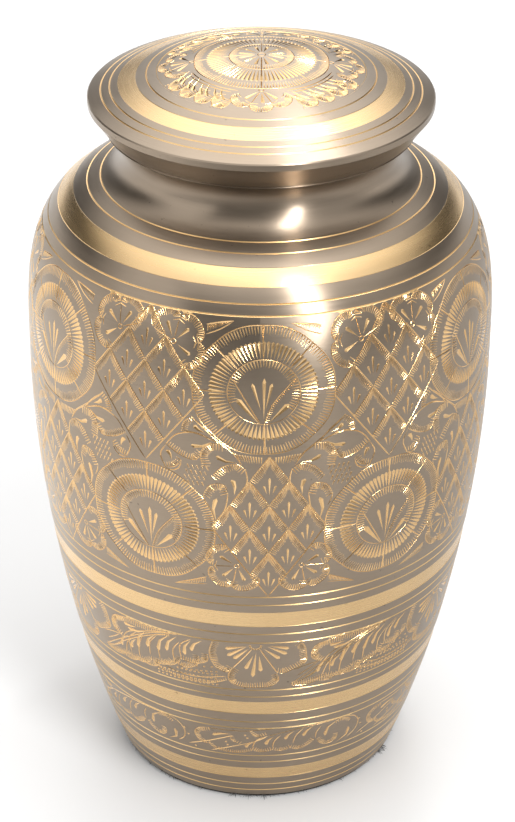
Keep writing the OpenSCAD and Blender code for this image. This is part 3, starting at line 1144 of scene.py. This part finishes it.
# %% The lid with its engraved top
def lid_piece():
    """The medallion's net on a disc, sewn to the turned dome, edge, underside and hollow. The skin of
    the disc is lit by the dome's own slope, each cut facet by its own, and the rest as it was turned."""
    a = np.arange(ROUND) / ROUND * TURN
    border = MEDALLION * np.stack([np.cos(a), np.sin(a)], axis=1)
    rings = [border * share for share in np.linspace(0.1, 0.93, 11)[:, None, None]]
    filling = np.concatenate([ring[:: 2 if j > 5 else 6] for j, ring in enumerate(rings)])
    points, facets = medallion_cuts
    reach = np.hypot(points[:, 0], points[:, 1])
    within = np.minimum(1, (MEDALLION - MEDALLION_MARGIN) / reach)[:, None]
    points = np.concatenate([points[:, :2] * within, points[:, 2:]], axis=1)
    corners, depth, faces, cut, _ = netted((points, facets), [border], filling)
    reach = np.hypot(corners[:, 0], corners[:, 1])
    edge = reach > MEDALLION - 1e-3
    depth[edge] = LINE_DEPTH
    tilt = -np.interp(reach, dome[:, 0], np.gradient(dome[:, 1], dome[:, 0]))
    places = np.column_stack([corners, dome_height(reach) - depth])
    directions = unit(np.column_stack([unit(corners) * tilt[:, None], np.ones(len(tilt))]))

    stretch, bare = dome_stretch(MEDALLION)
    below = lid_outside[~on_dome | (lid_outside[:, 0] > LID_EDGE[0])][::-1]
    outline = np.concatenate([stretch[1:], below, [SKIRT_FOOT], lid_inside[1:]])
    keep = np.r_[True, np.hypot(*np.diff(outline, axis=0).T) > 0.02]
    bare = np.r_[bare[1:], np.full(len(keep) - len(bare) + 1, SKIN)][keep]
    turned, strips = revolved(outline[keep])

    angle = np.arctan2(corners[edge, 0], -corners[edge, 1])
    rim = np.zeros(ROUND, int)
    rim[np.round((angle + np.pi) / TURN * ROUND).astype(int) % ROUND] = np.flatnonzero(edge)
    k = np.arange(ROUND)
    n = (k + 1) % ROUND
    offset = len(corners)
    seam = np.stack([rim[n], rim[k], offset + k, offset + n], axis=1)
    quads = np.concatenate([seam] + [strip[:, [1, 0, 3, 2]] + offset for strip in strips])
    every = faces.tolist() + without_repeats(quads)
    strip_finish = np.repeat(bare[:-1], [len(strip) for strip in strips])
    finish = np.r_[np.where(cut, ENGRAVED, SKIN), np.full(ROUND, TURNED_LINE), strip_finish]
    piece = mesh_piece("urn_lid", np.concatenate([places, turned]), every, finish=finish)

    mesh = piece.data
    mesh.set_sharp_from_angle(angle=np.radians(SHARP_DEGREES))
    sizes = read(mesh.polygons, "loop_total", kind=np.int32)
    shown = read(mesh.corner_normals, "vector", 3)
    of_dome = np.concatenate([directions, np.zeros((len(turned), 3))])
    of_dome = of_dome[read(mesh.loops, "vertex_index", kind=np.int32)]
    is_disc = np.repeat(np.arange(len(every)) < len(faces), sizes)[:, None]
    is_cut = np.repeat(np.r_[cut, np.zeros(len(quads), bool)], sizes)[:, None]
    chosen = np.where(is_disc, np.where(is_cut, own_normals(mesh, sizes), of_dome), shown)
    mesh.normals_split_custom_set(chosen.tolist())
    return piece


urn_lid = lid_piece()

# %% [markdown]
# ## The felt pad
#
# A disc of black felt is glued under the foot to protect the furniture. The solid disc is right as it
# is; its cut edge only needs some loose fibres, which are short curved slivers lying round the rim.


# %% Loose fibres round the felt
TUFTS = (-9, -3, 2.5, 62, 65)
TUFT_FIBRES = 9


def felt_fibres(count=420):
    """Thin three-sided slivers that start in the felt's edge and wander out: a straight run turned by
    a random angle, with the middle moved up a little. The first ones stand in a few tufts, at TUFTS
    degrees from the front, and are longer."""
    low, high = (np.array(v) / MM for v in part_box("felt_pad"))
    edge = high[0]
    start = hand.uniform(0, TURN, count)
    lean = hand.normal(0, 0.9, count)
    length = hand.uniform(0.8, 2.4, count)
    height = hand.uniform(low[2] + 0.15, high[2] - 0.3, count)
    tufted = len(TUFTS) * TUFT_FIBRES
    start[:tufted] = np.radians(np.repeat(TUFTS, TUFT_FIBRES)) + hand.normal(0, 0.012, tufted)
    length[:tufted] = hand.uniform(2.2, 3.6, tufted)
    out = facing(start)
    way = out * np.cos(lean)[:, None] + square_to(out) * np.sin(lean)[:, None]
    root = out * (edge - 0.25)
    parts = []
    for share, lift, thick in ((0.0, 0.0, 0.11), (0.5, 0.22, 0.08), (1.0, -0.05, 0.02)):
        centre = root + way * (length * share)[:, None]
        z = np.maximum(height + lift, 0.1)
        middle = np.concatenate([centre, z[:, None]], axis=1)
        side = np.concatenate([square_to(way), np.zeros((count, 1))], axis=1) * thick
        up = np.array([0, 0, thick])
        parts += [middle - side - up / 2, middle + side - up / 2, middle + up]
    corners = np.stack(parts, axis=1).reshape(-1, 3)
    faces = [[0, 2, 1], [6, 7, 8]]
    for base in (0, 3):
        for k in range(3):
            n = (k + 1) % 3
            faces.append([base + k, base + n, base + 3 + n, base + 3 + k])
    every = [[i + 9 * j for i in face] for j in range(count) for face in faces]
    return mesh_piece("felt_fibres", corners, every)


fibres = felt_fibres()

# %% [markdown]
# ## Finishes
#
# Two effects are shared by the grey skin and the bare brass, so each is a small node group with named
# inputs. The first is the grain that emery leaves on a turning piece: hair lines that run round the
# axis. It is a noise read on the direction from the axis, which changes slowly, and on height and
# radius, which change fast, so its grains come out as long thin rings.


# %% Node helpers and the turned grain
def new_group(name, inputs, outputs):
    """An empty shader node group with named inputs (name, kind, value) and outputs (name, kind)."""
    group = bpy.data.node_groups.new(name, "ShaderNodeTree")
    for label, kind, value in inputs:
        socket = group.interface.new_socket(label, in_out="INPUT", socket_type=kind)
        if value is not None:
            socket.default_value = value
    for label, kind in outputs:
        group.interface.new_socket(label, in_out="OUTPUT", socket_type=kind)
    return group, group.nodes.new("NodeGroupInput").outputs, group.nodes.new("NodeGroupOutput").inputs


def maths(tree, operation, *values):
    """A Math node fed by sockets or numbers."""
    node = tree.nodes.new("ShaderNodeMath")
    node.operation = operation
    for socket, value in zip(node.inputs, values):
        if isinstance(value, bpy.types.NodeSocket):
            tree.links.new(value, socket)
        else:
            socket.default_value = value
    return node.outputs[0]


def clamped(tree, value):
    """A value held between 0 and 1."""
    return maths(tree, "MINIMUM", maths(tree, "MAXIMUM", value, 0.0), 1.0)


def colour_ramp(tree, value, low, high):
    """A colour between two ends, from a value between 0 and 1. It gives the output and the stops."""
    ramp = tree.nodes.new("ShaderNodeValToRGB")
    stops = ramp.color_ramp.elements
    stops[0].color, stops[1].color = low, high
    tree.links.new(value, ramp.inputs[0])
    return ramp.outputs[0], stops


def bumped(tree, shader, height, distance):
    """Lets a height between 0 and 1, times a distance in metres, tilt a shader's normal."""
    bump = tree.nodes.new("ShaderNodeBump")
    bump.inputs["Distance"].default_value = distance
    tree.links.new(height, bump.inputs["Height"])
    tree.links.new(bump.outputs[0], shader.inputs["Normal"])


def noise(tree, vector, scale, detail=2.0, roughness=0.5):
    """A Noise node read at a vector. Its value lies round one half."""
    node = tree.nodes.new("ShaderNodeTexNoise")
    node.inputs["Scale"].default_value = scale
    node.inputs["Detail"].default_value = detail
    node.inputs["Roughness"].default_value = roughness
    tree.links.new(vector, node.inputs["Vector"])
    return node.outputs["Fac"]


def turned_grain_group():
    """Hair lines round the axis: noise at (x / r, y / r, k z + k r), with r the distance from it."""
    sockets = [("Place", "NodeSocketVector", None), ("Fineness", "NodeSocketFloat", 2600.0)]
    group, given, result = new_group("turned_grain", sockets, [("Lines", "NodeSocketFloat")])
    parts = group.nodes.new("ShaderNodeSeparateXYZ")
    group.links.new(given["Place"], parts.inputs[0])
    x, y, z = parts.outputs
    squares = maths(group, "ADD", maths(group, "MULTIPLY", x, x), maths(group, "MULTIPLY", y, y))
    r = maths(group, "SQRT", maths(group, "ADD", squares, 1e-7))
    along = maths(group, "MULTIPLY", maths(group, "ADD", z, r), given["Fineness"])
    where = group.nodes.new("ShaderNodeCombineXYZ")
    group.links.new(maths(group, "MULTIPLY", maths(group, "DIVIDE", x, r), 3.0), where.inputs[0])
    group.links.new(maths(group, "MULTIPLY", maths(group, "DIVIDE", y, r), 3.0), where.inputs[1])
    group.links.new(along, where.inputs[2])
    group.links.new(noise(group, where.outputs[0], 1.0, 3.0, 0.6), result["Lines"])
    return group


def tarnish_group():
    """Soft clouds and a few small specks: two noises, the second kept only where it is highest."""
    sockets = [("Place", "NodeSocketVector", None), ("Amount", "NodeSocketFloat", 0.5)]
    kinds = [("Clouds", "NodeSocketFloat"), ("Specks", "NodeSocketFloat")]
    group, given, result = new_group("tarnish", sockets, kinds)
    clouds = noise(group, given["Place"], 22.0, 4.0, 0.55)
    group.links.new(maths(group, "MULTIPLY", clouds, given["Amount"]), result["Clouds"])
    fine = noise(group, given["Place"], 520.0, 1.0)
    high = maths(group, "MULTIPLY", maths(group, "SUBTRACT", fine, 0.76), 14.0)
    group.links.new(maths(group, "MULTIPLY", clamped(group, high), given["Amount"]), result["Specks"])
    return group


turned_grain, tarnish = turned_grain_group(), tarnish_group()
print("node groups:", [g.name for g in bpy.data.node_groups])

# %% [markdown]
# Both metals share one build. The hair lines scatter light much more along the axis than round it, so
# the surface is given an anisotropy that stretches each highlight into an upright streak, which is the
# sure sign of metal finished on a lathe.


# %% Metals
def as_linear(red, green, blue):
    """A colour picked on a 0 to 255 scale, as the linear values that light adds up in."""
    c = np.array([red, green, blue]) / 255
    linear = np.where(c <= 0.04045, c / 12.92, ((c + 0.055) / 1.055) ** 2.4)
    return tuple(float(v) for v in linear) + (1.0,)


def new_material(name):
    """A material with its Principled shader and its Object coordinates."""
    material = bpy.data.materials.new(name)
    material.use_nodes = True
    tree = material.node_tree
    shader = next(n for n in tree.nodes if n.type == "BSDF_PRINCIPLED")
    place = tree.nodes.new("ShaderNodeTexCoord").outputs["Object"]
    return material, tree, shader, place


LINE_SHARE = 0.3
SPECK_SHARE = 0.6
SPECK_DARKNESS = 0.35


def metal(name, pale, deep, roughness, spread, grain, anisotropy):
    """A turned metal between two colours. The hair lines move its roughness by half of spread both
    ways, and grain is their height in metres."""
    material, tree, shader, place = new_material(name)
    lines = tree.nodes.new("ShaderNodeGroup")
    lines.node_tree = turned_grain
    clouds = tree.nodes.new("ShaderNodeGroup")
    clouds.node_tree = tarnish
    for node in (lines, clouds):
        tree.links.new(place, node.inputs["Place"])
    clouds.inputs["Amount"].default_value = 1.0
    lines_out = lines.outputs["Lines"]
    mixed = maths(tree, "ADD", maths(tree, "MULTIPLY", clouds.outputs["Clouds"], 1 - LINE_SHARE),
                  maths(tree, "MULTIPLY", lines_out, LINE_SHARE))
    colour, stops = colour_ramp(tree, mixed, deep, pale)
    stops[0].position, stops[1].position = 0.3, 0.7
    dark = tree.nodes.new("ShaderNodeMix")
    dark.data_type = "RGBA"
    tree.links.new(maths(tree, "MULTIPLY", clouds.outputs["Specks"], SPECK_SHARE), dark.inputs["Factor"])
    tree.links.new(colour, dark.inputs["A"])
    dark.inputs["B"].default_value = tuple(SPECK_DARKNESS * v for v in deep[:3]) + (1.0,)
    tree.links.new(dark.outputs["Result"], shader.inputs["Base Color"])
    rough = maths(tree, "ADD", maths(tree, "MULTIPLY", lines_out, spread), roughness - spread / 2)
    tree.links.new(rough, shader.inputs["Roughness"])
    if grain:
        bumped(tree, shader, lines_out, grain)
    shader.inputs["Metallic"].default_value = 1.0
    if anisotropy:
        shader.inputs["Anisotropic"].default_value = anisotropy
        shader.inputs["Anisotropic Rotation"].default_value = 0.25
        tangent = tree.nodes.new("ShaderNodeTangent")
        tangent.direction_type = "RADIAL"
        tangent.axis = "Z"
        tree.links.new(tangent.outputs[0], shader.inputs["Tangent"])
    return material


nickel_skin = metal(
    "brushed_nickel_skin", as_linear(149, 135, 119), as_linear(136, 122, 106), 0.3, 0.12, 1e-5, 0.75)
band_brass = metal("band_brass", as_linear(212, 181, 136), as_linear(200, 169, 123), 0.27, 0.1, 6e-6, 0.5)
cut_brass = metal("cut_brass", as_linear(221, 185, 135), as_linear(202, 164, 113), 0.2, 0.08, 0, 0)
line_brass = metal("line_brass", as_linear(222, 188, 136), as_linear(204, 168, 116), 0.3, 0.08, 0, 0)
FINISHES = [nickel_skin, cut_brass, line_brass, band_brass]
print("metals:", [m.name for m in FINISHES])

# %% [markdown]
# Felt is pressed wool. It has no grain to speak of, only a soft nap that catches light at a glancing
# angle, so it is a rough dark surface with a little sheen.


# %% Felt, and giving out the finishes
def felt_finish():
    """Black wool: a rough shader whose colour and bump follow a fine noise."""
    material, tree, shader, place = new_material("black_felt_nap")
    nap = noise(tree, place, 2400.0, 3.0, 0.7)
    colour, _ = colour_ramp(tree, nap, as_linear(14, 13, 13), as_linear(44, 42, 41))
    tree.links.new(colour, shader.inputs["Base Color"])
    bumped(tree, shader, nap, 2e-4)
    shader.inputs["Roughness"].default_value = 0.95
    shader.inputs["Sheen Weight"].default_value = 0.4
    return material


felt_nap = felt_finish()
felt_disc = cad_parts["felt_pad"]
felt_disc.data.materials.clear()
felt_disc.data.materials.append(felt_nap)
fibres.data.materials.append(felt_nap)
for piece in [urn_vessel, urn_lid] + engraved:
    for material in FINISHES:
        piece.data.materials.append(material)
    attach(piece, "root")
for piece in [urn_vessel] + engraved:
    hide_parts("body")
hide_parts("lid")
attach(fibres, "root")

# %% [markdown]
# ## Floor
#
# The urn stands on a white sweep. A real sweep ends a little in front of the urn, and so the belly, which
# mirrors the floor, shows it darkening towards the viewer and to the right. The floor here is a plain
# square, so those two fades are painted shade, put into its colour only in mirror reflections, and it
# stays one grey to the eye.


# %% Floor
FLOOR_GREY = 0.6
# Painted shade seen in reflections: how far the floor's colour darkens towards the front and the right
FRONT_FADE = (-6.5, -2.1)
FRONT_LOSS = -0.7
RIGHT_FADE = (4.0, 0.55)
RIGHT_LOSS = (-0.45, 1.3)


def floor_piece(half=6.0):
    """A square floor at the height of the felt's underside. A fade is a slope per metre and a start."""
    mesh = bpy.data.meshes.new("floor")
    corners = [(-half, -half, 0), (half, -half, 0), (half, half, 0), (-half, half, 0)]
    mesh.from_pydata(corners, [], [(0, 1, 2, 3)])
    piece = bpy.data.objects.new("floor", mesh)
    bpy.context.scene.collection.objects.link(piece)
    material, tree, shader, place = new_material("white_sweep")
    parts = tree.nodes.new("ShaderNodeSeparateXYZ")
    tree.links.new(place, parts.inputs[0])
    front = clamped(tree, maths(tree, "MULTIPLY_ADD", parts.outputs[1], *FRONT_FADE))
    right = clamped(tree, maths(tree, "MULTIPLY_ADD", parts.outputs[0], *RIGHT_FADE))
    # Painted shade: the floor's colour darkens towards the front and the right, in mirror reflections only
    reflected_shade = maths(tree, "MULTIPLY_ADD", front, FRONT_LOSS, 1.0)
    reflected_shade = maths(tree, "MULTIPLY", reflected_shade, maths(tree, "MULTIPLY_ADD", right, *RIGHT_LOSS))
    mirrored = tree.nodes.new("ShaderNodeLightPath").outputs["Is Glossy Ray"]
    mirrored = maths(tree, "MULTIPLY", mirrored, FLOOR_GREY)
    grey = maths(tree, "MULTIPLY_ADD", mirrored, maths(tree, "SUBTRACT", reflected_shade, 1.0), FLOOR_GREY)
    tree.links.new(grey, shader.inputs["Base Color"])
    shader.inputs["Roughness"].default_value = 0.6
    shader.inputs["Specular IOR Level"].default_value = 0.2
    mesh.materials.append(material)
    return piece


floor = floor_piece()

# %% [markdown]
# ## The room and the lamps
#
# Polished metal shows its surroundings more than its own colour, so the studio is part of the finish.
# Each part of the room has a brightness that changes with height. It is bright overhead and dim in
# front, less so to the left, and behind the sweep a dark belt runs round. A tall strip at the front right
# draws the upright streak on the belly, and a small lamp high behind carries it onto the lid.


# %% The room as light
ROOM_STRENGTH = 4.0


def room_ramp(tree, height, stops):
    """Brightness by the sine of the elevation, from a list of (elevation in degrees, brightness).
    A ramp holds values up to 1, so they are divided by the strength of the room."""
    ramp = tree.nodes.new("ShaderNodeValToRGB")
    ramp.color_ramp.interpolation = "EASE"
    elements = ramp.color_ramp.elements
    while len(elements) < len(stops):
        elements.new(0.5)
    for element, (elevation, value) in zip(elements, stops):
        element.position = 0.5 + 0.5 * np.sin(np.radians(elevation))
        element.color = 3 * (value / ROOM_STRENGTH,) + (1.0,)
    tree.links.new(height, ramp.inputs[0])
    return ramp.outputs[0]


FRONT_LEFT = [(-30, 1.5), (0, 1.45), (40, 1.4), (55, 1.6), (65, 2.2), (90, 3.0)]
FRONT_MIDDLE = [(-30, 0.35), (0, 0.3), (36, 0.38), (50, 0.85), (62, 2.0), (90, 3.0)]
FRONT_RIGHT = [(-30, 0.8), (0, 0.8), (36, 0.8), (50, 1.0), (62, 2.0), (90, 3.0)]
BACK_MIDDLE = [(-30, 1.6), (-2, 1.6), (3, 0.3), (12, 0.5), (20, 2.6), (36, 3.0), (50, 2.6), (75, 3.3)]
BACK_SIDES = [(-30, 1.6), (-3, 1.6), (1, 0.04), (19, 0.05), (27, 0.9), (45, 2.0), (75, 3.3)]


def mixed_colour(tree, factor, first, second):
    """A Mix node between two colours. It has inputs for other kinds too: those for colours are 6 and 7,
    and the output is 2."""
    node = tree.nodes.new("ShaderNodeMix")
    node.data_type = "RGBA"
    for socket, value in ((0, factor), (6, first), (7, second)):
        tree.links.new(value, node.inputs[socket])
    return node.outputs[2]


world = bpy.data.worlds.new("studio")
world.use_nodes = True
bpy.context.scene.world = world
sky = world.node_tree
direction = sky.nodes.new("ShaderNodeSeparateXYZ")
sky.links.new(sky.nodes.new("ShaderNodeTexCoord").outputs["Generated"], direction.inputs[0])
sideways, backwards, upwards = direction.outputs
# Each share is a slope times one part of the direction, plus a start, held between 0 and 1
height = maths(sky, "MULTIPLY_ADD", upwards, 0.5, 0.5)
behind = clamped(sky, maths(sky, "MULTIPLY_ADD", backwards, 2.0, 0.5))
width = maths(sky, "ABSOLUTE", sideways)
aside = clamped(sky, maths(sky, "MULTIPLY_ADD", width, 6.0, -0.9))
lowered = clamped(sky, maths(sky, "SUBTRACT", width, 0.2))
side_height = maths(sky, "MULTIPLY_ADD", lowered, -0.175, height)
to_left = clamped(sky, maths(sky, "MULTIPLY_ADD", sideways, -9.0, -4.7))
to_right = clamped(sky, maths(sky, "MULTIPLY_ADD", sideways, 6.0, -2.7))
front_middle, front_left = room_ramp(sky, height, FRONT_MIDDLE), room_ramp(sky, height, FRONT_LEFT)
front_room = mixed_colour(sky, to_left, front_middle, front_left)
front_room = mixed_colour(sky, to_right, front_room, room_ramp(sky, height, FRONT_RIGHT))
back_middle, back_sides = room_ramp(sky, height, BACK_MIDDLE), room_ramp(sky, side_height, BACK_SIDES)
back_room = mixed_colour(sky, aside, back_middle, back_sides)
room = mixed_colour(sky, behind, front_room, back_room)
background = next(n for n in sky.nodes if n.type == "BACKGROUND")
sky.links.new(room, background.inputs["Color"])
background.inputs["Strength"].default_value = ROOM_STRENGTH
bpy.context.scene.view_settings.view_transform = "Standard"


def soft_light(name, azimuth, elevation, distance, width, tall, watts):
    """A rectangle of light aimed at the middle of the urn, placed by azimuth from the front."""
    data = bpy.data.lights.new(name, "AREA")
    data.shape = "RECTANGLE"
    data.size, data.size_y = width, tall
    data.energy = watts
    light = bpy.data.objects.new(name, data)
    bpy.context.scene.collection.objects.link(light)
    a, e = np.radians(azimuth), np.radians(elevation)
    way = Vector((np.sin(a) * np.cos(e), -np.cos(a) * np.cos(e), np.sin(e)))
    aim = Vector((0.0, 0.0, AIM_HEIGHT))
    turned_to_urn = way.to_track_quat("Z", "Y").to_matrix().to_4x4()
    light.matrix_world = Matrix.Translation(aim + distance * way) @ turned_to_urn
    return light


strip = soft_light("strip", 28, 36, 1.7, 0.055, 2.0, 27.0)
overhead = soft_light("overhead", 152, 68, 1.7, 0.04, 0.5, 3.4)
print("lights:", strip.name, overhead.name)
